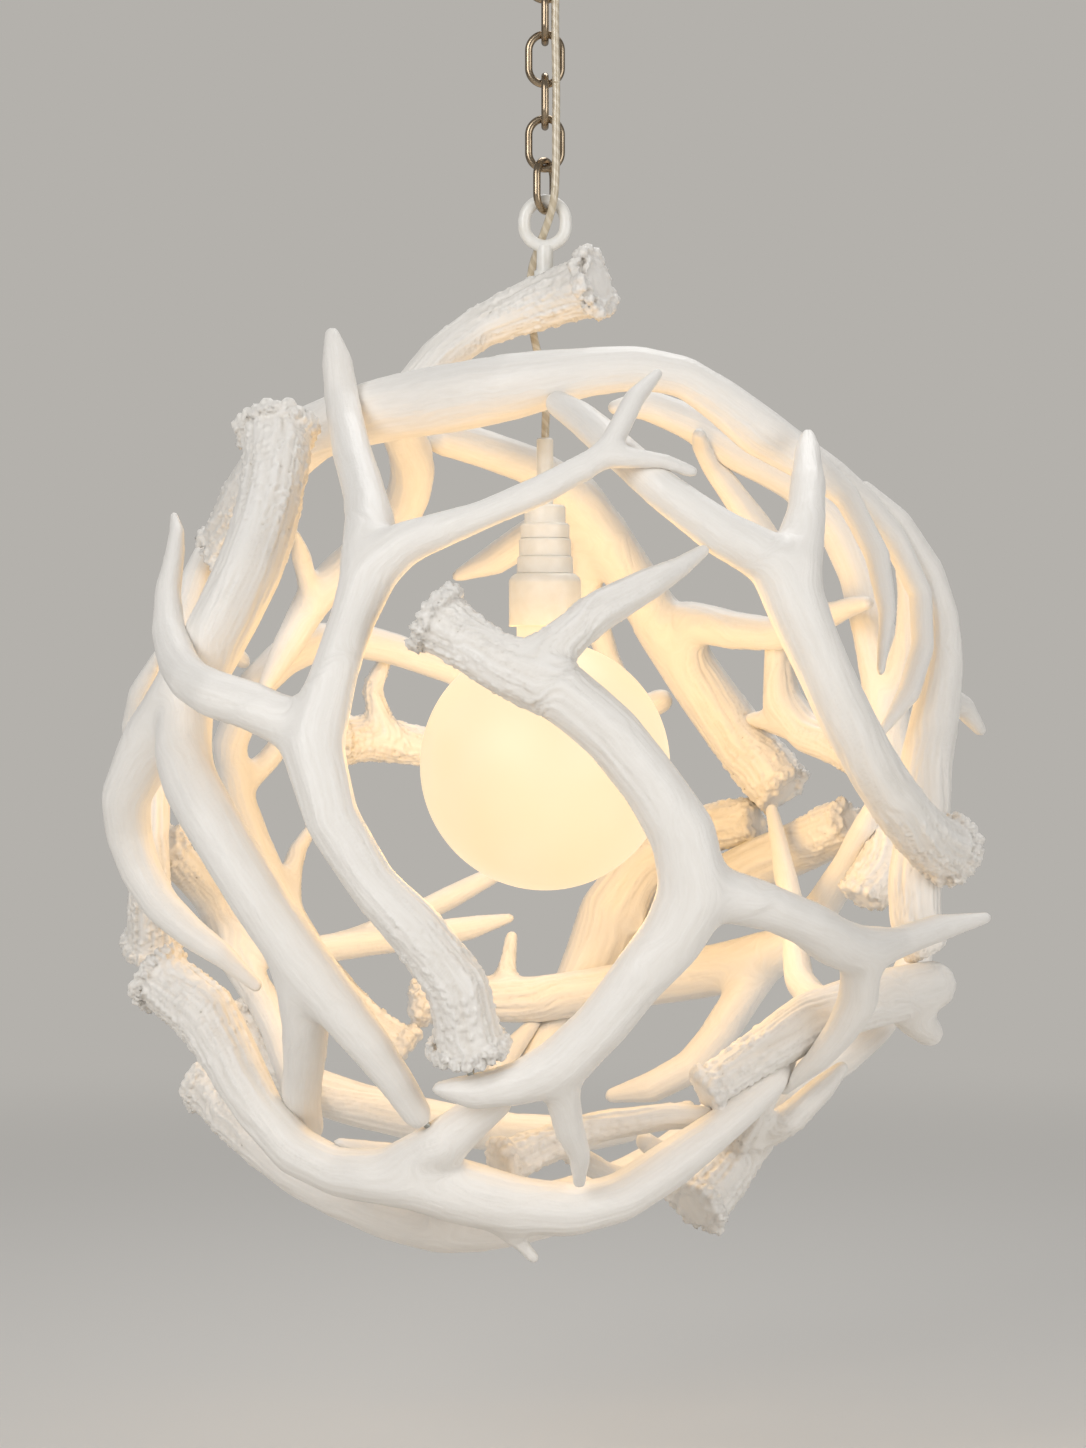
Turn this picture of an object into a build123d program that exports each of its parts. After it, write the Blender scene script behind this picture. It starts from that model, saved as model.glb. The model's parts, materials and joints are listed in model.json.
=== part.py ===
# Antler chandelier: a ball of white cast antlers round one opal globe lamp,
# hung by a ring and six oval links from a small ceiling canopy.
# Millimetres. Z points up, the ceiling is z = 0, the chain hangs on x = y = 0,
# and the front of the lamp looks along -Y.
import os
from math import ceil, cos, pi, radians, sin, tan
from build123d import *

os.makedirs("parts", exist_ok=True)

# ---- sizes ------------------------------------------------------------
ceiling_z = 0.0
canopy_diameter = 125.0
canopy_depth = 31.0
canopy_flat_share = 0.5
canopy_rim_share = 0.38
canopy_wall = 1.2
canopy_corner = 9.0
canopy_hole = 27.0

bar_length = 110.0
bar_width = 18.0
bar_thickness = 2.5
bar_screw_spacing = 88.9
bar_slot_length = 12.0
bar_slot_width = 5.0

nipple_diameter = 10.0
nipple_bore = 6.8
locknut_flats = 15.0
locknut_height = 3.5

collar_diameter = 24.4
collar_length = 16.0
collar_rise = 6.0
collar_nut_diameter = 34.0
collar_nut_height = 6.5
collar_nut_gap = 0.3
collar_neck = 12.0
loop_wire = 5.0
loop_height = 24.0
loop_weld = 0.7

link_count = 6
link_length = 34.6
link_width = 24.0
link_wire = 4.5
link_gap = 0.3
last_link_turn = 60.0

eye_length = 34.8
eye_width = 32.4
eye_wire = 7.5
eye_collar_diameter = 13.0
eye_collar_height = 3.0
eye_stem_diameter = 6.0
eye_stem_depth = 26.0
eye_neck = 10.0
eye_seat_sink = 2.5
seat_clearance = 20.0

cord_diameter = 4.8
cord_hole_room = 2.4
grip_room = 0.4

lamp_pivot_rise = 240.0
grip_below_pivot = 22.8
grip_diameter = 10.0
grip_length = 40.2
cap_diameter_1 = 24.6
cap_diameter_2 = 29.4
cap_diameter_3 = 31.2
cap_diameter_4 = 33.6
cap_step_1 = 10.8
cap_step_2 = 9.0
cap_step_3 = 10.8
cap_step_4 = 10.2
cap_wall = 2.5
cap_corner = 2.0
skirt_diameter = 43.2
skirt_height = 31.8
skirt_wall = 2.0
skirt_corner = 6.0
lamp_thread = 26.4
shell_gap = 0.5
shell_wall = 0.5
shell_height = 24.0
globe_diameter = 150.0
globe_wall = 1.2
globe_neck = 34.0
neck_inside_skirt = 6.0
globe_below_skirt = 8.4
base_wall = 0.5
base_height = 20.0
button_drop = 3.3
button_height = 1.4
base_cone = 3.1
tongue_length = 14.0
tongue_width = 5.0
tongue_sheet = 0.5
tongue_post = 6.0

cage_centre_x = -10.8
cage_centre_y = 0.0
cage_top_drop = 103.4
cage_width = 480.0
cage_height = 500.0
antler_sides = 8
antler_span = 34.0
burr_lobes = 8
burr_height = 9.0
pin_diameter = 4.0
pin_reach = 9.0
stem_room = 0.1

# ---- places that follow from the sizes ---------------------------------
bar_bottom = ceiling_z - bar_thickness
canopy_bottom = ceiling_z - canopy_depth
collar_top = canopy_bottom + canopy_wall + collar_rise
collar_bottom = collar_top - collar_length
loop_radius = (loop_height - loop_wire) / 2
loop_centre = collar_bottom - loop_height / 2 + loop_weld
hang_z = loop_centre - loop_radius
link_radius = (link_width - link_wire) / 2
link_straight = link_length - link_width
pitch = link_length - 2 * link_wire - link_gap
first_top = hang_z + (loop_wire + link_wire) / 2 + link_gap + link_wire / 2


def joint_height(number):
    """Height of the wire centre that link `number` hangs its lower neighbour on."""
    if number == 0:
        return hang_z
    return first_top - pitch * (number - 1) - link_length + link_wire / 2


eye_pivot = joint_height(link_count)
eye_radius = (eye_width - eye_wire) / 2
eye_straight = eye_length - eye_width
eye_top = eye_pivot + link_wire / 2 + link_gap + eye_wire
eye_centre = eye_top - eye_length / 2
eye_bottom = eye_top - eye_length
cage_centre_z = eye_pivot - cage_top_drop - cage_height / 2
lamp_pivot = cage_centre_z + lamp_pivot_rise
grip_top = lamp_pivot - grip_below_pivot
cap_top = grip_top - grip_length
step_1 = cap_top - cap_step_1
step_2 = step_1 - cap_step_2
step_3 = step_2 - cap_step_3
skirt_top = step_3 - cap_step_4
skirt_bottom = skirt_top - skirt_height
globe_radius = globe_diameter / 2
globe_centre = skirt_bottom - globe_below_skirt - globe_radius
base_top = step_3 - button_drop - button_height - base_cone
base_bottom = base_top - base_height


# ---- helpers -----------------------------------------------------------
def save(shape, name):
    """Write one piece as parts/NAME.step."""
    export_step(shape, "parts/" + name + ".step")
    print(name, round(shape.volume), len(shape.solids()))


def tube(outer, inner, top, bottom):
    """A plain ring or sleeve round the hanging axis; inner 0 makes it solid."""
    body = Pos(0, 0, (top + bottom) / 2) * Cylinder(outer / 2, top - bottom)
    if inner > 0:
        body -= Pos(0, 0, (top + bottom) / 2) * Cylinder(inner / 2, top - bottom + 2)
    return body


def oval_ring(length, width, wire):
    """A closed ring of round wire in the XZ plane: two half circles, two straights."""
    radius = (width - wire) / 2
    half = (length - width) / 2
    path = Wire(
        [
            Line((radius, 0, -half), (radius, 0, half)),
            ThreePointArc((radius, 0, half), (0, 0, half + radius), (-radius, 0, half)),
            Line((-radius, 0, half), (-radius, 0, -half)),
            ThreePointArc((-radius, 0, -half), (0, 0, -half - radius), (radius, 0, -half)),
        ]
    )
    section = Plane(origin=(radius, 0, -half), z_dir=(0, 0, 1)) * Circle(wire / 2)
    return sweep(section, path=path)


# ---- ceiling fitting ---------------------------------------------------
bar = Pos(0, 0, ceiling_z - bar_thickness / 2) * Box(bar_length, bar_width, bar_thickness)
for side in (-1, 1):
    slot = SlotOverall(bar_slot_length, bar_slot_width)
    place = Pos(side * bar_screw_spacing / 2, 0, ceiling_z - bar_thickness)
    bar -= place * extrude(slot, bar_thickness)
bar -= tube(nipple_diameter, 0, ceiling_z + 1, bar_bottom - 1)
save(bar, "crossbar")

nipple_bottom = collar_top - collar_length / 2
nipple = tube(nipple_diameter, nipple_bore, ceiling_z, nipple_bottom)
save(nipple, "threaded_nipple")

nut = extrude(RegularPolygon(locknut_flats / 2, 6, major_radius=False), locknut_height)
nut = Pos(0, 0, bar_bottom - locknut_height) * nut
nut -= tube(nipple_diameter, 0, bar_bottom + 1, bar_bottom - locknut_height - 1)
save(nut, "locknut")

rim = canopy_diameter / 2
flat = rim * canopy_flat_share
shoulder = canopy_depth * canopy_rim_share


def dish(inset):
    """The canopy's outer form, or its inside when inset by the sheet's thickness."""
    outline = Polyline(
        (0, ceiling_z),
        (rim - inset, ceiling_z),
        (rim - inset, ceiling_z - shoulder + inset * 0.4),
        (flat - inset * 0.3, canopy_bottom + inset),
        (0, canopy_bottom + inset),
        close=True,
    )
    body = revolve(Plane.XZ * make_face(outline), Axis.Z)
    corners = [e for e in body.edges() if e.geom_type == GeomType.CIRCLE]
    corners = [e for e in corners if e.center().Z < ceiling_z - 1]
    return fillet(corners, canopy_corner - inset)


canopy = dish(0) - dish(canopy_wall)
canopy -= tube(canopy_hole, 0, ceiling_z + 1, canopy_bottom - 1)
save(canopy, "canopy")

collar = tube(collar_diameter, 0, collar_top, collar_bottom)
collar -= tube(nipple_diameter, 0, collar_top + 1, nipple_bottom)
collar -= tube(cord_diameter + cord_hole_room, 0, nipple_bottom + 1, collar_bottom - 1)
leg_height = collar_bottom - loop_centre
bow = Pos(0, 0, loop_centre) * Rot(0, 90, 0) * Torus(loop_radius, loop_wire / 2)
bow -= Pos(0, 0, loop_centre + loop_height / 2) * Box(loop_height, loop_height + 2, loop_height)
for side in (-1, 1):
    leg = Cylinder(loop_wire / 2, leg_height)
    bow += Pos(0, side * loop_radius, loop_centre + leg_height / 2) * leg
collar += bow
save(collar, "collar_loop")

ring_top = canopy_bottom
ring_nut = tube(collar_nut_diameter, collar_diameter + collar_nut_gap, ring_top, ring_top - collar_nut_height)
ring_edges = ring_nut.edges().filter_by(GeomType.CIRCLE).group_by(Axis.Z)[0].sort_by(SortBy.RADIUS)
ring_nut = chamfer(ring_edges[-1], 1.5)
save(ring_nut, "collar_ring_nut")

# ---- chain -------------------------------------------------------------
link = oval_ring(link_length, link_width, link_wire)
for number in range(1, link_count + 1):
    top = first_top - pitch * (number - 1)
    turn = 90.0 * ((number + 1) % 2)
    if number == link_count:
        turn = last_link_turn
    save(Pos(0, 0, top - link_length / 2) * Rot(0, 0, turn) * link, "chain_link_" + str(number))

# ---- the antlers -------------------------------------------------------
# Each antler was traced on the photograph, or planned to match where it is out of sight.
# A point is (longitude, latitude, lift, thickness): degrees round the cage from its front,
# degrees above its middle, millimetres outside its surface and the antler's diameter there.
# The first line is the beam from its burr to its tip, and each tine starts inside the beam.
cage_centre = Vector(cage_centre_x, cage_centre_y, cage_centre_z)


def on_cage(longitude, latitude, lift):
    """The place at this longitude and latitude, lifted off the cage's surface."""
    across = cage_width / 2 + lift
    up = cage_height / 2 + lift
    x = across * cos(radians(latitude)) * sin(radians(longitude))
    y = -across * cos(radians(latitude)) * cos(radians(longitude))
    return cage_centre + Vector(x, y, up * sin(radians(latitude)))


def line_through(points):
    """The smooth centre line through the given points."""
    return Spline(*[on_cage(*point[:3]) for point in points])


def section(place, direction, across, size, sides, notch=1.0):
    """A closed outline of many sides square to the line; notch draws every second corner in."""
    plane = Plane(origin=place, x_dir=across, z_dir=direction)
    corners = []
    for corner in range(sides):
        turn = 2 * pi * corner / sides
        reach = size * (notch if corner % 2 else 1.0)
        corners.append(plane.from_local_coords((reach * cos(turn), reach * sin(turn), 0)))
    return Wire.make_polygon(corners, close=True)


def square_to(vector, direction):
    """The vector with its part along the direction taken out, one long."""
    return (vector - direction * vector.dot(direction)).normalized()


def limb(points, turned=0.0):
    """One tapering beam or tine of flat facets, rounded over at its tip."""
    line = line_through(points)
    spots = [on_cage(*point[:3]) for point in points]
    runs = [(b - a).length for a, b in zip(spots, spots[1:])]
    whole = sum(runs)
    stations = []
    gone = 0.0
    for run, start, end in zip(runs, points, points[1:]):
        parts_here = max(1, ceil(run / antler_span - 0.25))
        for part in range(parts_here):
            share = part / parts_here
            stations.append(((gone + run * share) / whole, start[3] + (end[3] - start[3]) * share))
        gone += run
    stations.append((1.0, points[-1][3]))
    across = square_to(spots[0] - cage_centre, line % 0).rotate(Axis((0, 0, 0), line % 0), turned)
    rings = []
    for share, size in stations:
        direction = line % share
        across = square_to(across, direction)
        rings.append(section(line @ share, direction, across, size / 2 * 1.03, antler_sides))
    tip = points[-1][3] / 2
    direction = line % 1
    rings.append(section((line @ 1) + direction * tip * 0.6, direction, across, tip * 0.55, antler_sides))
    return Solid.make_loft(rings, True)


def burr_round(points, size):
    """The knobbly crown at an antler's base, with the low dome of the shed face."""
    line = line_through(points)
    direction = line % 0
    start = line @ 0
    across = square_to(start - cage_centre, direction)
    rings = []
    for along, share in ((-4.0, 0.52), (-1.0, 0.9), (burr_height * 0.35, 1.0), (burr_height, 0.82)):
        ring_size = max(size / 2 * share, points[0][3] / 2 * 0.5)
        rings.append(section(start + direction * along, direction, across, ring_size, burr_lobes * 2, 0.88))
    return Solid.make_loft(rings, True)


antlers = {}
centre_lines = {}


def antler(name, burr, beam, *tines):
    """Build one antler as a single solid and keep its centre lines."""
    pieces = [limb(tine, 180 / antler_sides) for tine in tines]
    if burr > 0:
        pieces.append(burr_round(beam, burr))
    body = limb(beam)
    if pieces:
        body = body.fuse(*pieces)
    antlers[name] = body
    centre_lines[name] = [line_through(points) for points in (beam,) + tines]


antler(
    "front_left", 44,
    [(-8, -30, 7, 35), (-15, -14, 6, 31), (-20, -9, 6, 27), (-25, -1, 8, 30), (-28, 8, 8, 35),
     (-26, 17, 6, 26), (-25, 24, 4, 25), (-23, 31, 6, 29), (-18, 34, 10, 24), (-7, 37, 14, 16),
     (3, 40, 21, 16), (13, 44, 28, 15), (23, 43, 29, 9), (28, 42, 26, 7)],
    [(-27, 6, 8, 28), (-31, 10, 9, 28), (-41, 13, 27, 26), (-51, 17, 20, 23), (-63, 27, 18, 16),
     (-70, 35, 23, 10), (-73, 37, 29, 6)],
    [(-25, 24, 4, 24), (-25, 34, 4, 31), (-33, 45, -6, 24), (-50, 56, -5, 23), (-69, 63, 17, 21),
     (-73, 65, 38, 18), (-75, 66, 54, 9)],
    [(9, 42, 25, 14), (14, 45, 30, 14), (20, 51, 42, 11), (26, 54, 49, 6)],
)
antler(
    "front_centre", 39,
    [(-12, 23, 11, 32), (-4, 18, 9, 31), (5, 14, 7, 32), (16, 3, 6, 32), (22, -10, 8, 39),
     (15, -21, 8, 29), (5, -32, 12, 29), (-8, -35, 18, 20), (-13, -34, 21, 8)],
    [(-3, 17, 7, 22), (3, 19, 8, 24), (10, 24, 12, 22), (18, 28, 11, 18), (28, 33, 10, 7)],
    [(21, -6, 8, 30), (24, -10, 9, 31), (33, -12, 13, 25), (51, -18, 13, 29), (59, -17, 16, 18),
     (67, -15, 25, 16), (74, -13, 45, 7)],
    [(45, -16, 13, 24), (55, -25, 12, 23), (56, -35, 4, 14), (57, -42, -4, 7)],
    [(9, -30, 8, 24), (5, -34, 13, 23), (7, -41, 17, 17), (10, -50, 23, 8)],
)
antler(
    "front_right", 39,
    [(78, -6, 12, 35), (67, -3, 3, 32), (46, 17, 2, 30), (42, 25, 9, 34), (39, 31, 14, 30),
     (31, 35, 14, 26), (23, 41, 16, 22), (15, 61, 2, 19), (11, 68, -1, 15)],
    [(42, 24, 7, 26), (42, 30, 18, 30), (47, 36, 25, 23), (52, 41, 28, 20), (62, 47, 29, 15),
     (65, 49, 34, 7)],
)
antler(
    "top_arch", 41,
    [(-121, 35, 25, 39), (-109, 48, 15, 39), (-92, 59, 8, 34), (-44, 73, -3, 40), (-6, 73, 3, 38),
     (25, 71, 14, 28), (54, 65, 24, 24), (68, 55, 15, 29), (75, 42, 20, 16), (73, 33, 15, 15),
     (67, 18, -7, 6)],
    [(68, 57, 16, 23), (76, 51, 18, 21), (86, 35, 26, 16), (88, 27, 24, 14), (82, 15, -4, 14),
     (77, 10, -24, 6)],
)
antler(
    "upper_left", 45,
    [(-68, 53, 21, 39), (-58, 44, 1, 37), (-53, 33, -5, 38), (-59, 15, -5, 36), (-66, 7, 0, 34),
     (-69, 1, 7, 29), (-71, -4, 4, 27), (-67, -14, -5, 22), (-58, -22, -20, 15), (-55, -28, -28, 8)],
    [(-58, 16, -7, 28), (-55, 7, -2, 32), (-46, -1, 5, 32), (-33, -19, 1, 31), (-24, -31, 4, 24),
     (-18, -41, 11, 16)],
    [(-35, -17, 1, 26), (-34, -23, 0, 28), (-44, -40, -2, 23), (-53, -49, -2, 19)],
)
antler(
    "lower_left", 39,
    [(-69, -23, 7, 36), (-62, -29, -2, 37), (-51, -41, 16, 28), (-36, -48, 27, 28), (-21, -49, 24, 34),
     (-11, -52, 24, 35), (21, -55, 19, 27), (32, -52, 8, 27), (54, -41, -8, 16), (58, -38, -11, 7)],
    [(-25, -48, 22, 28), (-15, -45, 14, 28), (-9, -42, 5, 23), (-4, -40, 1, 16)],
    [(-15, -52, 27, 19), (-7, -55, 28, 17), (2, -60, 44, 7)],
)
crown_saddle = (90, 88, 50, 34)
antler(
    "crown", 41,
    [(70, 82, 61, 35), crown_saddle, (-99, 84, 36, 25), (-82, 73, 4, 25), (-144, 58, -9, 28),
     (-147, 47, -12, 28), (-138, 30, -1, 24), (-134, 23, -7, 19), (-128, 17, -17, 9)],
    [(-140, 33, -3, 19), (-136, 32, -2, 15), (-132, 37, 2, 14), (-127, 41, 3, 7)],
)
antler(
    "right_side", 0,
    [(81, -20, 15, 30), (81, -11, -4, 32), (82, -3, -3, 31), (84, 6, 0, 31), (90, 17, 21, 25),
     (92, 29, 35, 21), (89, 36, 33, 19), (86, 42, 30, 9)],
    [(88, 9, 5, 22), (93, 13, 19, 21), (99, 8, 44, 8)],
)
antler(
    "lower_right_inner", 29,
    [(44, -46, -23, 28), (53, -39, -23, 29), (59, -32, -16, 33), (67, -28, -4, 33), (76, -25, 12, 32),
     (82, -23, 26, 28)],
    [(74, -26, 7, 22), (80, -28, 23, 22), (85, -29, 36, 16)],
    [(71, -27, 0, 22), (80, -33, -34, 19), (110, -23, -50, 16), (124, -13, -40, 14), (134, -2, -23, 8)],
)
antler(
    "bottom", 38,
    [(-107, -40, 25, 35), (-97, -51, 15, 34), (-63, -68, 8, 35), (-43, -72, 8, 35), (33, -81, -8, 31),
     (126, -52, -4, 17), (131, -42, 7, 8)],
    [(-51, -71, 6, 21), (-24, -63, -8, 20), (-37, -46, 14, 7)],
    [(106, -72, -16, 17), (69, -67, -24, 14), (48, -64, -31, 11)],
)
antler(
    "lower_right", 39,
    [(53, -61, 15, 37), (69, -54, -5, 30), (79, -46, -13, 28), (88, -38, -3, 26), (101, -21, 20, 20),
     (111, -9, 15, 8)],
    [(65, -53, -3, 21), (63, -46, 5, 19), (65, -40, 6, 15), (66, -36, 8, 8)],
    [(60, -53, -1, 16), (58, -41, -12, 12), (60, -37, -16, 8)],
)
antler(
    "back_upper", 35,
    [(138, 1, 5, 40), (152, 18, 3, 36), (164, 43, -1, 31), (168, 50, -1, 31), (179, 57, 0, 25),
     (-151, 64, 0, 24), (-145, 59, 28, 16)],
    [(152, 20, 1, 28), (150, 27, 0, 29), (142, 25, 1, 25), (118, 27, 4, 16), (105, 28, 6, 8)],
    [(163, 41, 0, 22), (167, 47, -3, 24), (-173, 38, -3, 21), (-166, 35, -2, 9)],
    [(167, 46, -3, 22), (169, 36, -1, 20), (168, 26, 0, 18), (164, 16, 5, 9)],
    [(125, 26, 5, 18), (126, 34, 2, 21), (126, 43, 1, 20), (126, 54, 4, 14), (113, 62, 3, 8)],
)
antler(
    "back_cross", 23,
    [(117, 4, 7, 26), (124, 7, 3, 26), (131, 9, 2, 26), (136, 14, 2, 26), (135, 22, 6, 18)],
    [(133, 10, 3, 20), (138, 11, 3, 19), (143, 11, 3, 9)],
)
antler(
    "back_centre", 26,
    [(143, -4, 1, 32), (155, -7, -1, 32), (162, -12, -1, 36), (166, -18, 2, 42), (169, -24, 11, 38),
     (177, -40, 12, 27), (-177, -49, 7, 13)],
    [(166, -16, 1, 21), (161, -20, 2, 17), (158, -22, 4, 10)],
)
antler(
    "back_right_lower", 26,
    [(123, -4, 1, 34), (147, -13, 2, 34), (159, -21, 9, 25), (163, -27, 14, 13)],
)
antler(
    "back_low", 27,
    [(-159, -33, -1, 29), (-169, -33, -5, 29), (179, -34, -10, 30), (168, -32, -7, 30),
     (140, -26, 0, 34), (131, -23, -1, 30), (126, -16, 2, 23), (113, -4, -9, 17), (110, 1, -7, 8)],
    [(135, -25, 1, 25), (138, -30, 1, 24), (143, -44, -1, 22), (151, -48, 1, 20), (161, -49, 5, 9)],
    [(-174, -34, -6, 18), (-176, -29, -9, 14), (-177, -23, -14, 8)],
)
antler(
    "floor_inner", 29,
    [(-6, -59, -12, 25), (4, -60, -24, 22), (38, -52, -24, 16), (44, -49, -13, 14)],
    [(10, -60, -27, 15), (63, -73, -16, 13), (94, -71, -7, 8)],
)
antler(
    "back_left", 30,
    [(-154, -40, 4, 26), (-148, -35, 4, 25), (-138, -19, 1, 22), (-131, -1, 7, 22), (-129, 7, 9, 23),
     (-132, 16, 6, 24), (-143, 23, 5, 25), (-157, 22, 4, 22), (-167, 19, 3, 19), (-175, 14, 2, 8)],
    [(-131, 1, 7, 18), (-139, 10, -4, 13), (-141, 17, -11, 7)],
    [(-138, -18, 2, 18), (-139, -13, 3, 17), (-145, -4, 2, 7)],
)
antler(
    "back_middle", 32,
    [(-149, 8, 4, 32), (-156, 8, 2, 28), (-172, 6, 2, 24), (168, 10, 3, 23), (158, 14, 7, 16)],
    [(-160, 7, 1, 19), (-154, 16, 4, 14), (-157, 20, 14, 9)],
    [(-166, 6, 2, 17), (-171, 10, 10, 17), (-171, 21, 19, 7)],
)
antler(
    "back_left_low", 27,
    [(-109, -7, -1, 24), (-118, -11, 6, 23), (-125, -15, 14, 23), (-124, -23, 5, 23),
     (-127, -31, 4, 22), (-125, -41, 5, 19), (-120, -49, 8, 14), (-111, -56, 10, 7)],
    [(-124, -19, 5, 19), (-128, -24, -6, 19), (-140, -25, -17, 18), (-169, -22, -14, 16),
     (-177, -20, -11, 7)],
    [(-139, -25, -16, 15), (-155, -21, -8, 16), (-167, -16, 2, 16), (177, -8, 2, 7)],
)
antler(
    "back_floor", 31,
    [(-126, -30, 27, 29), (-128, -38, 25, 29), (-147, -54, 0, 28), (170, -59, 0, 24), (151, -56, 2, 19),
     (139, -50, 5, 8)],
    [(-163, -58, -1, 20), (-171, -50, 0, 21), (-175, -43, 0, 16), (178, -36, -2, 9)],
)
antler(
    "left_side", 35,
    [(-112, -19, 29, 29), (-106, -13, 10, 26), (-102, -5, -2, 25), (-102, 4, -3, 25),
     (-105, 14, -2, 24), (-117, 28, 29, 20), (-127, 37, 58, 7)],
    [(-102, 1, -3, 19), (-88, 15, 0, 13), (-82, 21, -5, 7)],
    [(-109, 21, 6, 16), (-120, 22, 14, 17), (-128, 20, 13, 13), (-130, 19, 10, 9)],
)
antler(
    "right_back", 28,
    [(113, -14, -4, 34), (113, -9, 5, 31), (116, 16, 18, 27), (121, 36, 42, 27), (122, 44, 36, 26),
     (123, 54, 19, 26), (130, 68, 12, 19), (136, 72, 2, 9)],
    [(116, 13, 18, 22), (105, 26, 32, 16), (102, 32, 36, 9)],
)

# Where two antlers meet, the first is cut to sit on the second, as the maker copes them.
joints = [
    ("front_centre", "front_left"), ("front_left", "front_right"), ("upper_left", "front_left"),
    ("front_left", "top_arch"), ("front_centre", "front_right"), ("front_centre", "lower_left"),
    ("front_centre", "lower_right"), ("front_right", "top_arch"), ("right_side", "front_right"),
    ("crown", "top_arch"), ("right_side", "top_arch"), ("top_arch", "left_side"),
    ("upper_left", "lower_left"),
    ("lower_right", "lower_left"), ("bottom", "lower_left"), ("floor_inner", "lower_left"),
    ("right_side", "lower_right_inner"), ("lower_right_inner", "lower_left"),
    ("lower_right", "lower_right_inner"),
    ("floor_inner", "lower_right_inner"), ("lower_right", "right_back"), ("floor_inner", "bottom"),
    ("back_upper", "crown"), ("back_upper", "back_cross"), ("back_upper", "right_back"),
    ("back_cross", "right_back"), ("back_centre", "back_upper"), ("back_centre", "back_right_lower"),
    ("back_centre", "back_low"), ("back_floor", "back_centre"), ("back_floor", "back_low"),
    ("back_low", "right_back"), ("back_left", "crown"), ("back_middle", "back_left"),
    ("back_left_low", "back_left"), ("left_side", "back_left"), ("back_left_low", "back_floor"),
    ("left_side", "back_left_low"), ("back_middle", "back_upper"), ("lower_right_inner", "back_upper"),
    ("back_upper", "top_arch"), ("back_right_lower", "back_low"), ("back_centre", "back_floor"),
]
pinned = [
    ("crown", "top_arch"), ("crown", "back_left"), ("top_arch", "left_side"), ("front_left", "front_centre"),
    ("front_left", "upper_left"), ("front_right", "right_side"), ("upper_left", "lower_left"),
    ("back_upper", "right_back"), ("back_low", "right_back"), ("back_left_low", "back_floor"),
    ("lower_left", "floor_inner"), ("bottom", "floor_inner"),
]


def largest(shape):
    """The main solid that a cut leaves."""
    return shape.solids().sort_by(SortBy.VOLUME)[-1]


def meeting(first, second):
    """The closest points of two antlers' centre lines, among all their branches."""
    best = None
    for one in centre_lines[first]:
        for other in centre_lines[second]:
            gap, here, there = one.distance_to_with_closest_points(other)
            if best is None or gap < best[0]:
                best = (gap, here, there)
    return best[1], best[2]


for first, second in joints:
    cut = antlers[first].cut(antlers[second])
    antlers[first] = largest(cut)

pins = []
for first, second in pinned:
    here, there = meeting(first, second)
    axis = (there - here).normalized()
    middle = (here + there) / 2
    pin = Plane(origin=middle, z_dir=axis) * Cylinder(pin_diameter / 2, pin_reach * 2)
    pins.append(pin)
    antlers[first] = largest(antlers[first].cut(pin))
    antlers[second] = largest(antlers[second].cut(pin))

# ---- hanging ring on the crown antler ----------------------------------
eye_seat = on_cage(*crown_saddle[:3]).Z + crown_saddle[3] / 2 - eye_seat_sink
eye = Pos(0, 0, eye_centre) * oval_ring(eye_length, eye_width, eye_wire)
eye += tube(eye_neck, 0, eye_bottom + eye_wire / 2, eye_seat)
eye += tube(eye_collar_diameter, 0, eye_seat + eye_collar_height, eye_seat)
eye += tube(eye_stem_diameter, 0, eye_seat, eye_seat - eye_stem_depth)
save(eye, "hanging_eye")

crown = antlers["crown"]
crown = crown.cut(tube(eye_collar_diameter + 4 * stem_room, 0, eye_seat + seat_clearance, eye_seat))
crown = crown.cut(tube(eye_stem_diameter + 2 * stem_room, 0, eye_seat + 1, eye_seat - eye_stem_depth - 1))
antlers["crown"] = largest(crown)

for name, body in antlers.items():
    save(body, "antler_" + name)
save(Compound(children=pins), "joint_pins")

# ---- lamp cord ---------------------------------------------------------
cord_points = [
    (0, 0, canopy_bottom + 25), (0, 0, hang_z + 19.6), (7.2, -7.1, hang_z + 1.2), (5.8, -6.6, hang_z - 36.4),
    (6.8, -6, hang_z - 73.4), (5.8, -6.8, hang_z - 104.4), (6.6, -7.5, eye_pivot + 25.2),
    (5.5, -9.5, eye_pivot + 2.2), (-3.5, 8.5, eye_pivot - 19.8), (-9, 22, eye_pivot - 33.8),
    (-9, 24.5, eye_pivot - 55.8), (-6, 14, lamp_pivot + 33.6), (2.2, 4.6, lamp_pivot + 9.6),
    (0, 0, grip_top + 10.4), (0, 0, grip_top - 9.6),
]


def bend_radii(points):
    """A radius at each bend that uses 0.45 of the shorter run beside it."""
    radii = []
    for before, here, after in zip(points, points[1:], points[2:]):
        arriving = Vector(*here) - Vector(*before)
        leaving = Vector(*after) - Vector(*here)
        half_turn = radians(arriving.get_angle(leaving)) / 2
        radii.append(0.45 * min(arriving.length, leaving.length) / tan(half_turn))
    return radii


cord_radii = bend_radii(cord_points)
print("cord bend radii", [round(radius) for radius in cord_radii])
cord_line = FilletPolyline(*cord_points, radius=cord_radii)
cord_start = Plane(origin=cord_line @ 0, z_dir=cord_line % 0)
cord = sweep(cord_start * Circle(cord_diameter / 2), path=cord_line)
print("cord length", round(cord_line.length, 1))
cord_cuts = [ceiling_z, hang_z, joint_height(1), joint_height(link_count - 1), eye_pivot, lamp_pivot, cap_top]
cord_names = ["ceiling", "link_1", "chain", "link_6", "cage", "lamp"]
for name, top, bottom in zip(cord_names, cord_cuts, cord_cuts[1:]):
    slab = Pos(0, 10, (top + bottom) / 2) * Box(100, 100, top - bottom)
    save(cord & slab, "cord_" + name)

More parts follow.
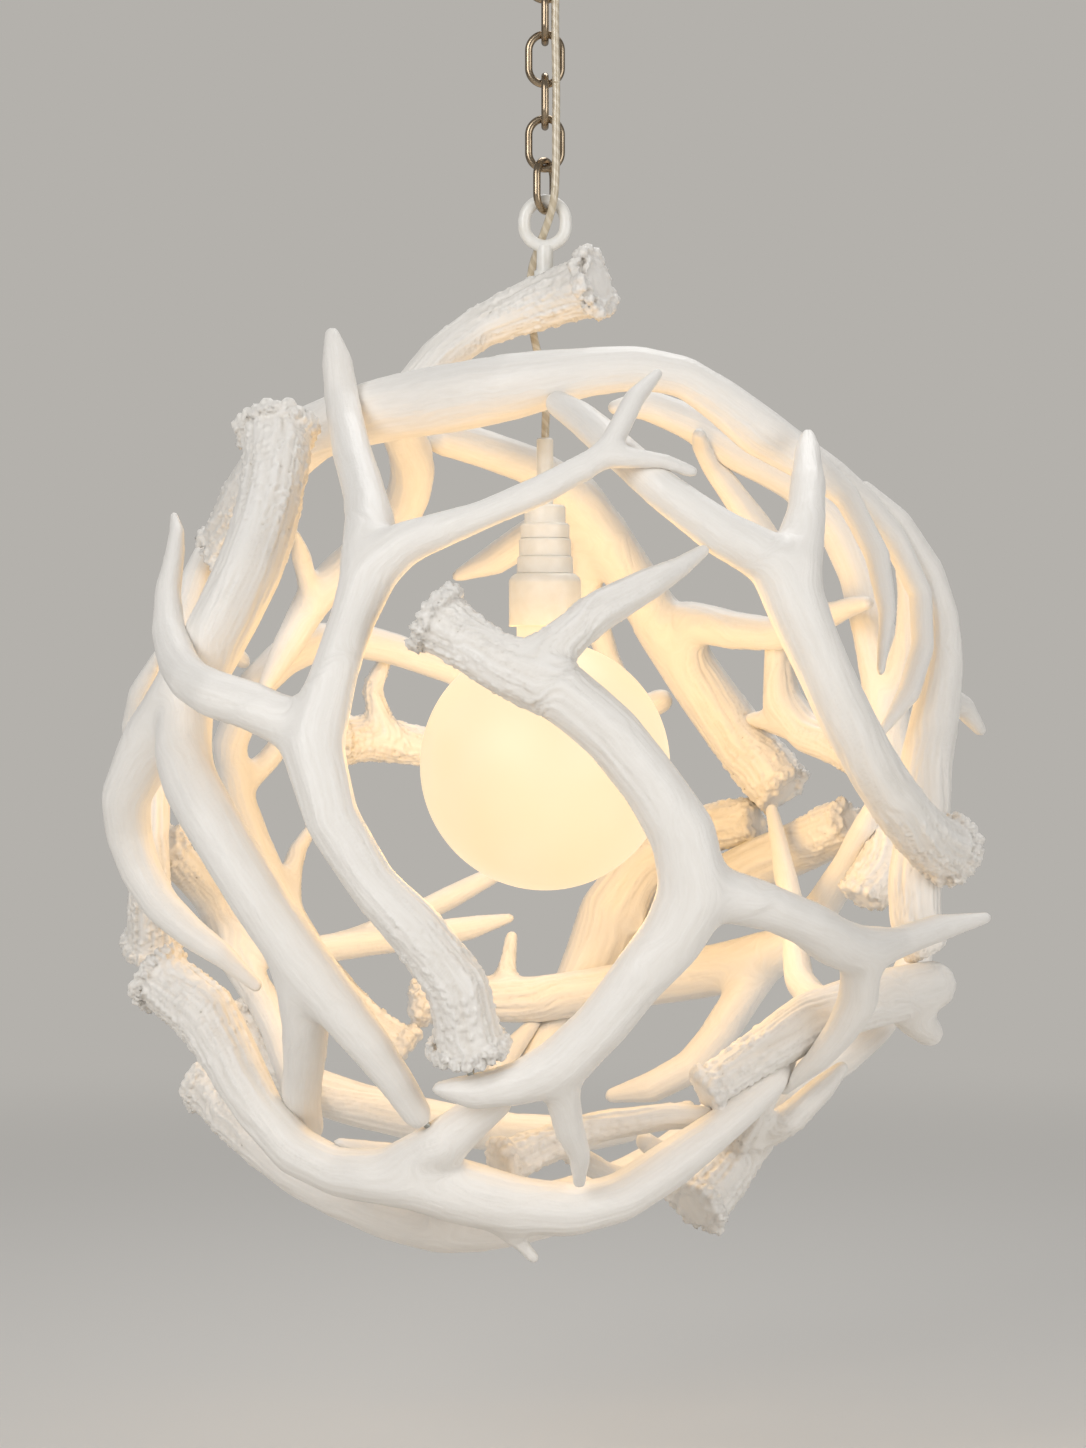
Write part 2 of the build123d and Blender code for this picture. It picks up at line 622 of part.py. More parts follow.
# ---- lampholder --------------------------------------------------------
grip = tube(grip_diameter, cord_diameter + grip_room, grip_top, cap_top)
grip_rim = grip.edges().filter_by(GeomType.CIRCLE).group_by(Axis.Z)[-1].sort_by(SortBy.RADIUS)[-1]
grip = chamfer(grip_rim, 1.0)
save(grip, "cord_grip")


def rounded_disc(diameter, top, bottom, corner):
    """One step of the lampholder, its upper edge rounded."""
    disc = tube(diameter, 0, top, bottom)
    edge = disc.edges().filter_by(GeomType.CIRCLE).group_by(Axis.Z)[-1]
    return fillet(edge, corner)


steps = [
    (cap_diameter_1, cap_top, step_1),
    (cap_diameter_2, step_1, step_2),
    (cap_diameter_3, step_2, step_3),
    (cap_diameter_4, step_3, skirt_top),
]
holder = None
for diameter, top, bottom in steps:
    disc = rounded_disc(diameter, top, bottom, cap_corner)
    holder = disc if holder is None else holder + disc
hollow = tube(cap_diameter_1 - 2 * cap_wall, 0, cap_top - cap_wall, step_1)
for diameter, top, bottom in steps[1:]:
    hollow += tube(diameter - 2 * cap_wall, 0, top, bottom)
holder -= hollow
holder -= tube(cord_diameter + grip_room, 0, cap_top + 1, cap_top - cap_wall - 1)
save(holder, "lampholder_cap")

shell_inner = lamp_thread + 2 * shell_gap
shell_outer = shell_inner + 2 * shell_wall
skirt = rounded_disc(skirt_diameter, skirt_top, skirt_bottom, skirt_corner)
room = skirt_diameter - 2 * skirt_wall
inside = rounded_disc(room, skirt_top - skirt_wall, skirt_bottom - 1, skirt_corner - skirt_wall)
skirt -= inside
skirt -= tube(shell_outer + 0.4, 0, skirt_top + 1, skirt_top - skirt_wall - 1)
save(skirt, "lampholder_skirt")

insulator = tube(cap_diameter_3 - 2 * cap_wall - 0.4, 4.0, step_2, step_3)
save(insulator, "lampholder_insulator")
save(tube(shell_outer, shell_inner, step_3, step_3 - shell_height), "screw_shell")

post_height = button_drop - 0.6
tongue = Pos(0, 0, step_3 - tongue_sheet / 2) * Box(tongue_length, tongue_width, tongue_sheet)
tongue += Pos(0, 0, step_3 - button_drop / 2) * Box(tongue_post, tongue_width, post_height)
save(tongue, "centre_contact")

# ---- globe lamp --------------------------------------------------------
cap_inner = lamp_thread - 2 * base_wall
neck_top = base_bottom
neck_low = skirt_bottom + neck_inside_skirt


def glass_form(inset):
    """The globe with its neck, inset for the inside face."""
    form = Pos(0, 0, globe_centre) * Sphere(globe_radius - inset)
    neck_foot = globe_centre + globe_radius * 0.9
    form += tube(globe_neck - 2 * inset, 0, neck_low, neck_foot)
    radius = globe_radius - inset
    crease_height = globe_centre + (radius**2 - (globe_neck / 2 - inset) ** 2) ** 0.5
    crease = [e for e in form.edges().filter_by(GeomType.CIRCLE) if abs(e.center().Z - crease_height) < 0.5]
    form = fillet(crease, 4.0 + inset)
    top_radius = cap_inner / 2 - 0.2 - inset
    throat = Cone(globe_neck / 2 - inset, top_radius, neck_top - neck_low)
    form += Pos(0, 0, (neck_low + neck_top) / 2) * throat
    form += tube(2 * top_radius, 0, neck_top + 5, neck_top)
    return form


glass = glass_form(0)
glass -= glass_form(globe_wall)
glass -= tube(cap_inner - 1 - 2 * globe_wall, 0, neck_top + 6, neck_top + 4)
save(glass, "globe_glass")

lamp_base = tube(lamp_thread, cap_inner, base_top, base_bottom)
save(lamp_base, "lamp_base")
contact_cone = Pos(0, 0, base_top + base_cone / 2) * Cone(cap_inner / 2, 6.5, base_cone)
lamp_tip = contact_cone + tube(9.5, 0, base_top + base_cone + button_height - 0.3, base_top + base_cone)
save(lamp_tip, "lamp_contact")
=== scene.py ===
# %% [markdown]
# # A white antler chandelier
# The lamp is a ball of cast antlers round an opal globe, on a bronze chain.
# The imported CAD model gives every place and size. This lesson dresses it: the
# faceted antlers are sculpted round and grooved, and each finish is made in nodes.
# Lengths in the cells are in millimetres and are multiplied by mm where Blender,
# which counts in metres, is given them.

import json
import math
from heapq import heappop, heappush

import bmesh
import bpy
import numpy as np
from mathutils import Matrix, Vector, kdtree


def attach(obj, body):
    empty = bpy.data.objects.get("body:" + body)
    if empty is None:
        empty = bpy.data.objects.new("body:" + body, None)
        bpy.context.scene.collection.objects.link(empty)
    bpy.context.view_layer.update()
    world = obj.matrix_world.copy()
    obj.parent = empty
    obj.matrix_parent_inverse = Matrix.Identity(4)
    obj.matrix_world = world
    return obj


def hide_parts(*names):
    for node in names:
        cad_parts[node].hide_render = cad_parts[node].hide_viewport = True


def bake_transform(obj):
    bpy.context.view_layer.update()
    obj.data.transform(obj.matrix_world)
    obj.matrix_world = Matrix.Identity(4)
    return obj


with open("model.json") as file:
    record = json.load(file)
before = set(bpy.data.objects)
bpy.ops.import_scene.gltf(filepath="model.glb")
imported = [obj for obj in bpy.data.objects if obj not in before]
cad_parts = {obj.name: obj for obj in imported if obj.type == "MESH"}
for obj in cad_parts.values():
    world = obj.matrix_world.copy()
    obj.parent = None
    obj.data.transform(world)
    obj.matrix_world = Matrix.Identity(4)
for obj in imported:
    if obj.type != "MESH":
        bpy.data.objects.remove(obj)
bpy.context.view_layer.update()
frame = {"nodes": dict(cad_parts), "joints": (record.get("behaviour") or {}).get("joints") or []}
scene = bpy.context.scene
mm = 0.001
nodes = frame["nodes"]
print("frame loaded:", len(nodes), "nodes")

# %% [markdown]
# ## Camera
# The photograph was taken level, from in front, with a long lens. A camera could be
# placed by eye, but one angle is surer: the picture's height of 1448 pixels covers
# 22.33 degrees. The sensor's long side lies along that height, so the length of the
# lens follows from it.

# %% Camera
photo_fov = math.radians(22.33)
camera_place = (-1.2, -2200, -519.8)
camera_data = bpy.data.cameras.new("camera")
camera_data.sensor_width = 36.0
camera_data.lens = camera_data.sensor_width / 2 / math.tan(photo_fov / 2)
camera = bpy.data.objects.new("camera", camera_data)
camera.location = Vector(camera_place) * mm
camera.rotation_euler = (math.radians(90), 0, 0)
scene.collection.objects.link(camera)
scene.camera = camera
print("lens", round(camera_data.lens, 1), "mm")

# %% [markdown]
# ## Colours and nodes
# A renderer counts light in linear numbers, and a paint card gives sRGB values. So
# every finish is written as an sRGB hex value and turned linear by one function.
# Nodes could be added and wired in many long calls. One small function adds a node,
# sets it and links it, so that a finish reads as a list of what it is made of.


# %% Helpers for materials
def linear(hex_colour):
    """An sRGB hex value as linear red, green, blue and alpha."""
    parts = [int(hex_colour[i:i + 2], 16) / 255 for i in (1, 3, 5)]
    return [c / 12.92 if c <= 0.04045 else ((c + 0.055) / 1.055) ** 2.4 for c in parts] + [1.0]


def add(tree, kind, inputs=None, **settings):
    """Add one node; inputs gives each input's value or the socket that feeds it."""
    node = tree.nodes.new(kind)
    for name, value in settings.items():
        setattr(node, name, value)
    for key, value in (inputs or {}).items():
        if isinstance(value, bpy.types.NodeSocket):
            tree.links.new(value, node.inputs[key])
        else:
            node.inputs[key].default_value = value
    return node


def finish_named(name, **sockets):
    """A material with one principled shader, its plain sockets set."""
    material = bpy.data.materials.new(name)
    material.use_nodes = True
    tree = material.node_tree
    tree.nodes.clear()
    shader = add(tree, "ShaderNodeBsdfPrincipled")
    for key, value in sockets.items():
        shader.inputs[key.replace("_", " ")].default_value = value
    out = add(tree, "ShaderNodeOutputMaterial", {"Surface": shader.outputs[0]})
    out.name = "out"
    return material, tree, shader


def mottled(tree, vector, scale_mm, low, high, detail=4.0, rough=0.55):
    """A colour that wanders between two values over the given distance, and its noise."""
    noise = add(tree, "ShaderNodeTexNoise", {
        "Vector": vector, "Scale": 1 / (scale_mm * mm), "Detail": detail, "Roughness": rough})
    ramp = add(tree, "ShaderNodeValToRGB", {"Fac": noise.outputs["Fac"]})
    ramp.color_ramp.elements[0].position = 0.3
    ramp.color_ramp.elements[1].position = 0.7
    ramp.color_ramp.elements[0].color = linear(low)
    ramp.color_ramp.elements[1].color = linear(high)
    return ramp.outputs["Color"], noise.outputs["Fac"]


# %% [markdown]
# ## Antler finish
# The antlers are cast resin, sprayed with a satin white paint: neither glossy nor
# chalky, so its roughness is in the middle. Shade is painted into the grooves and pits:
# the colour there is a little darker and warmer. The grain of the horn still shows as
# streaks along each beam. A picture of grain would have to be unwrapped round every
# fork. Here the sculpting below stores two attributes instead: the first, "grain", says
# where each point is round and along its beam, which the streaks follow, and the second
# how much shade is painted there, from how deep its groove or pit lies. The streaks are
# drawn coarser than real grain, which is too fine to show.

# %% Antler finish
streak_stretch = 0.4
streak_density = 10.0
streak_relief = 3.0
paint_grit = 1.4
paint_relief = 0.14
resin, tree, shader = finish_named("painted_cast_resin", Roughness=0.42, IOR=1.48)
grain = add(tree, "ShaderNodeAttribute", attribute_name="grain")
painted_shade = add(tree, "ShaderNodeAttribute", attribute_name="painted_shade")
drawn_out = add(tree, "ShaderNodeVectorMath", {
    0: grain.outputs["Vector"], 1: (1.0, 1.0, streak_stretch)}, operation="MULTIPLY")
streak = add(tree, "ShaderNodeTexNoise", {
    "Vector": drawn_out.outputs[0], "Scale": streak_density, "Detail": 5.0, "Roughness": 0.62})
# The tone adds the grain's streaks to the shade painted into grooves and pits.
tone = add(tree, "ShaderNodeMath", {
    0: streak.outputs["Fac"], 1: 0.5, 2: painted_shade.outputs["Fac"]}, operation="MULTIPLY_ADD")
paint_and_shade = add(tree, "ShaderNodeValToRGB", {"Fac": tone.outputs[0]})
paint_and_shade.color_ramp.elements[0].position = 0.22
paint_and_shade.color_ramp.elements[0].color = linear("#F8F4EE")
paint_and_shade.color_ramp.elements[1].position = 0.8
paint_and_shade.color_ramp.elements[1].color = linear("#EAE4DB")
# The last, darkest colour is painted shade in the deepest grooves and pits.
painted_pit_shade = paint_and_shade.color_ramp.elements.new(1.0)
painted_pit_shade.color = linear("#BDB4A8")
tree.links.new(paint_and_shade.outputs["Color"], shader.inputs["Base Color"])
place = add(tree, "ShaderNodeTexCoord")
grit = add(tree, "ShaderNodeTexNoise", {
    "Vector": place.outputs["Object"], "Scale": 1 / (paint_grit * mm), "Detail": 3.0})
height = add(tree, "ShaderNodeMath", {
    0: streak.outputs["Fac"], 1: streak_relief, 2: grit.outputs["Fac"]}, operation="MULTIPLY_ADD")
bump = add(tree, "ShaderNodeBump", {
    "Height": height.outputs[0], "Distance": paint_relief * mm, "Strength": 0.8})
tree.links.new(bump.outputs[0], shader.inputs["Normal"])
print("antler finish:", resin.name, "with", len(tree.nodes), "nodes")

# %% [markdown]
# ## Sculpting an antler
# A real antler is round and grooved, and the CAD solid is a chain of flat facets.
# It could be carved by hand in sculpt mode, but 23 of them would take days and
# could not be repeated. So code carves them: each solid is remeshed into small even
# squares and smoothed, and grooves and pearls are pushed out of its surface.
# Moving points one by one is slow in Python. So a mesh is read into arrays, changed
# there as a whole and written back.

# %% Meshes as arrays
def read(mesh):
    """A mesh's points in millimetres, its edges and its normals."""
    points = np.empty(len(mesh.vertices) * 3)
    mesh.vertices.foreach_get("co", points)
    edges = np.empty(len(mesh.edges) * 2, dtype=np.int32)
    mesh.edges.foreach_get("vertices", edges)
    normals = np.empty(len(mesh.vertices) * 3)
    mesh.vertices.foreach_get("normal", normals)
    return points.reshape(-1, 3) / mm, edges.reshape(-1, 2), normals.reshape(-1, 3)


def write(mesh, points):
    """Put points in millimetres back into a mesh."""
    mesh.vertices.foreach_set("co", (points * mm).astype(np.float32).ravel())
    mesh.update()


# %% Neighbours on a surface
def spread(values, edges, degree):
    """The mean of each point's neighbours, for a value or a vector."""
    flat = values.reshape(len(degree), -1)
    total = np.empty_like(flat)
    for column in range(flat.shape[1]):
        here = flat[:, column]
        total[:, column] = (
            np.bincount(edges[:, 0], here[edges[:, 1]], len(degree))
            + np.bincount(edges[:, 1], here[edges[:, 0]], len(degree)))
    return (total / degree[:, None]).reshape(values.shape)


def degrees(edges, count):
    """How many neighbours each point has."""
    return np.maximum(np.bincount(edges.ravel(), minlength=count), 1).astype(float)


# %% One skin of even squares
def remeshed(mesh, voxel_mm):
    """The mesh rebuilt as one skin of even squares."""
    thing = bpy.data.objects.new("clay", mesh)
    scene.collection.objects.link(thing)
    remesh = thing.modifiers.new("remesh", "REMESH")
    remesh.mode = "VOXEL"
    remesh.voxel_size = voxel_mm * mm
    seen = thing.evaluated_get(bpy.context.evaluated_depsgraph_get())
    result = bpy.data.meshes.new_from_object(seen)
    bpy.data.objects.remove(thing)
    return result


# %% [markdown]
# ## Which way the horn grows
# Grooves run along a beam, fork with it and fade away from the burr, so each point
# has to know how far along the antler it lies and on which side. The beams' lines
# could be typed in again from the CAD, but the surface holds them already. A walk
# over it from the burr gives every point its distance, as water would spread.

# %% Distance from the burr
def walk(points, edges, start):
    """Distance over the surface from the start points, in millimetres."""
    links = [[] for _ in points]
    lengths = np.linalg.norm(points[edges[:, 0]] - points[edges[:, 1]], axis=1)
    for (a, b), run in zip(edges.tolist(), lengths.tolist()):
        links[a].append((b, run))
        links[b].append((a, run))
    far = [1e9] * len(points)
    queue = []
    for point in start:
        far[point] = 0.0
        heappush(queue, (0.0, int(point)))
    while queue:
        gone, here = heappop(queue)
        if gone > far[here]:
            continue
        for there, run in links[here]:
            if gone + run < far[there] - 1e-9:
                far[there] = gone + run
                heappush(queue, (far[there], there))
    return np.array(far)


# %% [markdown]
# Points at the same distance make a ring round the beam, or two rings past a fork.
# Joining neighbours of one band finds them, and each ring's mean is its middle. The
# ring it grew out of is its parent.

# %% Rings round the beam
longest_walk = 5000.0


def rings_of(points, edges, along, step):
    """Group the surface into rings of equal distance; give each its middle and parent."""
    band = (np.minimum(along, longest_walk) // step).astype(int)
    root = list(range(len(points)))

    def top(i):
        while root[i] != i:
            root[i] = root[root[i]]
            i = root[i]
        return i

    same = band[edges[:, 0]] == band[edges[:, 1]]
    for a, b in edges[same].tolist():
        a, b = top(a), top(b)
        if a != b:
            root[a] = b
    label = np.array([top(i) for i in range(len(points))])
    names, label = np.unique(label, return_inverse=True)
    count = np.bincount(label)
    middle = np.stack([np.bincount(label, points[:, i]) for i in range(3)], 1) / count[:, None]
    ring_band = band[names]
    parent = -np.ones(len(names), int)
    for a, b in edges[~same].tolist():
        la, lb = label[a], label[b]
        if ring_band[la] > ring_band[lb]:
            la, lb = lb, la
        if parent[lb] < 0 or count[la] > count[parent[lb]]:
            parent[lb] = la
    return label, middle, parent, ring_band, count


# %% [markdown]
# The step from a ring's parent to it is the direction of growth. A second direction
# across the beam is carried on from ring to ring, so that it never spins and the
# grooves stay on their side of the beam. Very small rings, at a tine's tip, only
# copy their parent's.

# %% Directions carried along
fewest_in_ring = 6


def frames_of(middle, parent, ring_band, count):
    """Carry two cross directions from ring to ring, so that they never spin."""
    first = np.zeros_like(middle)
    axis = np.zeros_like(middle)
    for ring in np.argsort(ring_band, kind="stable"):
        up = parent[ring]
        if up < 0 or count[ring] < fewest_in_ring:
            axis[ring] = axis[up] if up >= 0 else (0, 0, 1)
            first[ring] = first[up] if up >= 0 else (1, 0, 0)
            continue
        run = middle[ring] - middle[up]
        size = np.linalg.norm(run)
        direction = run / size if size > 0.5 else axis[up]
        axis[ring] = direction
        across = first[up] - direction * first[up].dot(direction)
        if np.linalg.norm(across) < 0.1:
            across = np.cross(direction, (0.3, 0.5, 0.8))
        first[ring] = across / np.linalg.norm(across)
    return axis, first


# %% [markdown]
# ## Noise with a seed
# Nature is uneven, and the grooves need numbers that wander smoothly. Blender's
# noise works in shaders, one colour at a time. Here the same is done on arrays: a
# block of random numbers is drawn once, with a seed, so that every run carves the
# same antlers. Between its numbers the values are blended. A second function
# scatters one point in each cell, which gives pearls and pits.

# %% Seeded noise
repeat = 64
lattice = np.random.default_rng(7).random((repeat, repeat, repeat))


def value_noise(where):
    """Smooth noise from 0 to 1 at each row of where."""
    cell = np.floor(where).astype(int)
    part = where - cell
    part = part * part * (3 - 2 * part)
    total = np.zeros(len(where))
    for corner in range(8):
        step = np.array([corner & 1, corner >> 1 & 1, corner >> 2 & 1])
        weight = np.prod(np.where(step, part, 1 - part), axis=1)
        x, y, z = ((cell + step) % repeat).T
        total += weight * lattice[x, y, z]
    return total


# %% Scattered points
def beads(where):
    """Distance to the nearest of a seeded scatter of points, one in each unit cell."""
    cell = np.floor(where).astype(int)
    nearest = np.full(len(where), 9.0)
    size = np.zeros(len(where))
    for shift in np.ndindex(3, 3, 3):
        spot = cell + np.array(shift) - 1
        x, y, z = (spot % repeat).T
        jitter = np.stack([lattice[x, y, z], lattice[y, z, x], lattice[z, x, (y + 9) % repeat]], 1)
        gap = np.linalg.norm(spot + 0.15 + 0.7 * jitter - where, axis=1)
        closer = gap < nearest
        nearest = np.where(closer, gap, nearest)
        size = np.where(closer, lattice[(x + 5) % repeat, z, y], size)
    return nearest, size


# %% [markdown]
# ## Burr beads
# Round its shed end a real antler has a burr, a ragged crown of knobs. Each knob
# could be modelled, but they repeat round a rim, so a Geometry Nodes tree lays
# them: points on a circle, moved a little at random, each with a small ball of its
# own size. The remeshing melts the balls into the antler afterwards.

# %% Burr tree
knob_wander = 0.6
least_knob = 0.55
largest_knob = 1.15
burr_tree = bpy.data.node_groups.new("burr_crown", "GeometryNodeTree")
burr_sockets = {}
for name, kind in {
    "Radius": "Float", "Bead": "Float", "Count": "Int", "Wander": "Float", "Seed": "Int",
    "Finish": "Material",
}.items():
    socket = burr_tree.interface.new_socket(name, in_out="INPUT", socket_type="NodeSocket" + kind)
    burr_sockets[name] = socket.identifier
burr_tree.interface.new_socket("Geometry", in_out="OUTPUT", socket_type="NodeSocketGeometry")
given = add(burr_tree, "NodeGroupInput")
rim = add(burr_tree, "GeometryNodeMeshCircle", {
    "Vertices": given.outputs["Count"], "Radius": given.outputs["Radius"]})
wander = add(burr_tree, "FunctionNodeRandomValue", {
    "Min": (-1, -1, -1.6), "Max": (1, 1, 1.6), "Seed": given.outputs["Seed"]}, data_type="FLOAT_VECTOR")
shift = add(burr_tree, "ShaderNodeVectorMath", {0: wander.outputs[0], "Scale": given.outputs["Wander"]},
            operation="SCALE")
moved = add(burr_tree, "GeometryNodeSetPosition", {"Geometry": rim.outputs[0], "Offset": shift.outputs[0]})
ball = add(burr_tree, "GeometryNodeMeshIcoSphere", {"Radius": given.outputs["Bead"], "Subdivisions": 2})
girth = add(burr_tree, "FunctionNodeRandomValue", {
    2: least_knob, 3: largest_knob, "Seed": given.outputs["Seed"]}, data_type="FLOAT")
laid = add(burr_tree, "GeometryNodeInstanceOnPoints", {
    "Points": moved.outputs[0], "Instance": ball.outputs[0], "Scale": girth.outputs[1]})
real = add(burr_tree, "GeometryNodeRealizeInstances", {0: laid.outputs[0]})
coated = add(burr_tree, "GeometryNodeSetMaterial", {
    "Geometry": real.outputs[0], "Material": given.outputs["Finish"]})
add(burr_tree, "NodeGroupOutput", {0: coated.outputs[0]})
print("burr tree:", len(burr_tree.nodes), "nodes")


# %% One ring of knobs
def burr_beads(radius_mm, bead_mm, count, seed):
    """One ring of knobs as a plain mesh, lying flat round the origin."""
    holder = bpy.data.objects.new("burr", bpy.data.meshes.new("burr"))
    scene.collection.objects.link(holder)
    layer = holder.modifiers.new("burr", "NODES")
    layer.node_group = burr_tree
    for name, value in {
        "Radius": radius_mm * mm, "Bead": bead_mm * mm, "Count": count, "Wander": knob_wander * mm,
        "Seed": seed, "Finish": resin,
    }.items():
        layer[burr_sockets[name]] = value
    seen = holder.evaluated_get(bpy.context.evaluated_depsgraph_get())
    mesh = bpy.data.meshes.new_from_object(seen)
    bpy.data.objects.remove(holder)
    return mesh


# %% [markdown]
# ## Where the burrs are
# The walk starts at each antler's shed end. The CAD places that end by longitude
# and latitude over the ball, 0 being the front, and by its height over it. The same
# values are given here, with the burr's width: 0 for an antler that ends in a plain
# point. The ball's centre, width and height are the CAD's.

# %% The shed end of each antler
burrs = {
    "front_left": (-8, -30, 7, 44), "front_centre": (-12, 23, 11, 39), "front_right": (78, -6, 12, 39),
    "top_arch": (-121, 35, 25, 41), "upper_left": (-68, 53, 21, 45), "lower_left": (-69, -23, 7, 39),
    "crown": (70, 82, 61, 41), "right_side": (81, -20, 15, 0), "lower_right_inner": (44, -46, -23, 29),
    "bottom": (-107, -40, 25, 38), "lower_right": (53, -61, 15, 39), "back_upper": (138, 1, 5, 35),
    "back_cross": (117, 4, 7, 23), "back_centre": (143, -4, 1, 26), "back_right_lower": (123, -4, 1, 26),
    "back_low": (-159, -33, -1, 27), "floor_inner": (-6, -59, -12, 29), "back_left": (-154, -40, 4, 30),
    "back_middle": (-149, 8, 4, 32), "back_left_low": (-109, -7, -1, 27), "back_floor": (-126, -30, 27, 31),
    "left_side": (-112, -19, 29, 35), "right_back": (113, -14, -4, 28),
}
ball_centre = np.array((-10.8, 0.0, -565.55))
ball_width = 480.0
ball_height = 500.0


def on_ball(longitude, latitude, lift):
    """A place over the ball, as the CAD counts it; longitude 0 is the front."""
    turn, rise = math.radians(longitude), math.radians(latitude)
    reach = (ball_width / 2 + lift) * math.cos(rise)
    return ball_centre + (
        reach * math.sin(turn), -reach * math.cos(turn), (ball_height / 2 + lift) * math.sin(rise))


print("burrs placed:", len(burrs))

# %% [markdown]
# ## Clay
# Casting leaves no edge on an antler. A Subdivision Surface would round the solid
# too, but it would follow the facets' long triangles and pinch at the forks. Voxel
# remeshing makes even squares everywhere, and smoothing them rounds the facets off.
# Smoothing shrinks a beam, and would wear a thin tine away. So thin parts give
# less, and each point is pushed out again by a share of the radius there.

# %% Clay
weld_gap = 0.02
clay_mm = 2.0
skin_mm = 1.3
end_share = 0.36
ring_step = 5.0
field_rounds = 8
smooth_rounds = 34
full_radius = 17.0
most_give = 0.5
least_give = 0.03
regained = 0.066


def merged_copy(node):
    """A CAD node's loose triangles as one closed mesh."""
    mesh = nodes[node].data.copy()
    work = bmesh.new()
    work.from_mesh(mesh)
    bmesh.ops.remove_doubles(work, verts=work.verts, dist=weld_gap * mm)
    work.to_mesh(mesh)
    work.free()
    return mesh


def joined(meshes):
    """Several meshes as one, unmerged."""
    work = bmesh.new()
    for mesh in meshes:
        work.from_mesh(mesh)
    whole = bpy.data.meshes.new("joined")
    work.to_mesh(whole)
    work.free()
    return whole


# %% Rounded clay
def evened(fields, edges, degree, rounds):
    """The same values with their steps evened out over the surface."""
    for _ in range(rounds):
        fields = 0.5 * fields + 0.5 * spread(fields, edges, degree)
    return fields


def rounded_clay(name, burr):
    """The antler's solid as smooth clay, with each point's place on the beam."""
    clay = remeshed(merged_copy("antler_" + name), clay_mm)
    points, edges, _ = read(clay)
    degree = degrees(edges, len(points))
    gap = np.linalg.norm(points - on_ball(*burrs[name][:3]), axis=1)
    start = np.flatnonzero(gap < max(burr * end_share, gap.min() + 1.0))
    along = walk(points, edges, start)
    label, middle, parent, ring_band, count = rings_of(points, edges, along, ring_step)
    axis, first = frames_of(middle, parent, ring_band, count)
    reach = np.linalg.norm(points - middle[label], axis=1)
    ring_radius = np.bincount(label, reach) / count
    fields = np.column_stack([axis[label], first[label], ring_radius[label], along])
    fields = evened(fields, edges, degree, field_rounds)
    radius = fields[:, 6]
    give = most_give * np.clip((radius / full_radius) ** 2, least_give, 1.0)[:, None]
    for _ in range(smooth_rounds):
        points = points + give * (spread(points, edges, degree) - points)
    write(clay, points)
    points, edges, normals = read(clay)
    points = points + normals * (regained * radius)[:, None]
    write(clay, points)
    return clay, points, fields, along


# %% [markdown]
# ## The burr's three rows
# Seen close, a burr is a row of large knobs at the rim, a smaller row behind it and
# a few grains on the face. Each row has its depth behind the end face, its radius
# as a share of the burr's width, and its knobs' radius. The rows lie square to the
# beam's first few centimetres.

# %% Burr rows
burr_rows = ((1.2, 0.49, 3.7), (5.2, 0.48, 3.1), (-0.6, 0.34, 2.4))
knob_spacing = 1.75
end_depth = 2.0
beam_from, beam_to = 34, 46


def burr_knobs(points, along, burr, seed):
    """The rows of knobs round an antler's end face."""
    face = points[along < end_depth].mean(0)
    deep = points[(along > beam_from) & (along < beam_to)].mean(0)
    inward = Vector(deep - face).normalized()
    turn = inward.to_track_quat("Z", "Y").to_matrix().to_4x4()
    rows = []
    for row, (depth, share, bead) in enumerate(burr_rows):
        count = int(burr * share * 2 * math.pi / (bead * knob_spacing))
        knobs = burr_beads(burr * share, bead, count, seed * 7 + row)
        knobs.transform(Matrix.Translation(Vector(face) * mm + inward * depth * mm) @ turn)
        rows.append(knobs)
    return rows


# %% [markdown]
# ## Carving
# Wide flutes, thin creases, pearls that crowd towards the burr and a few pits make
# horn look like horn. They could be bump in the material alone, but then the
# outline would stay smooth, and the mesh is a result in its own right. So they are
# lifted out of the surface. The way round a beam is a unit circle, and a number of
# turns says how often a noise changes in its radius. Shares are of the burr's
# width: its face, the collar round it, and the beam's radius.

# %% Carving values
flute_turns, flute_length, flute_depth = 5.0, 45, 1.2
crease_turns, crease_length, crease_depth = 7.5, 55, 1.0
crease_width = 0.075
swell_size, swell_height = 30, 1.0
pearl_spacing, pearl_length, pearl_height = 3.4, 5.2, 1.25
pearled_share, pitted_share = 2.6, 2.2
pit_spacing, pit_length, pit_depth = 5.0, 6.5, 0.9
pit_width = 0.16
crumble_size, crumble_height = 3.6, 0.75
face_share, collar_share, beam_share = 0.16, 0.2, 0.4
least_grooved, burr_grooved, grooved_length = 0.28, 0.85, 130.0
full_groove_radius = 12
grain_length = 60
# Painted shade: how much the grooves and the pits darken the paint's colour.
groove_shade_share, pit_shade_share = 0.55, 0.6


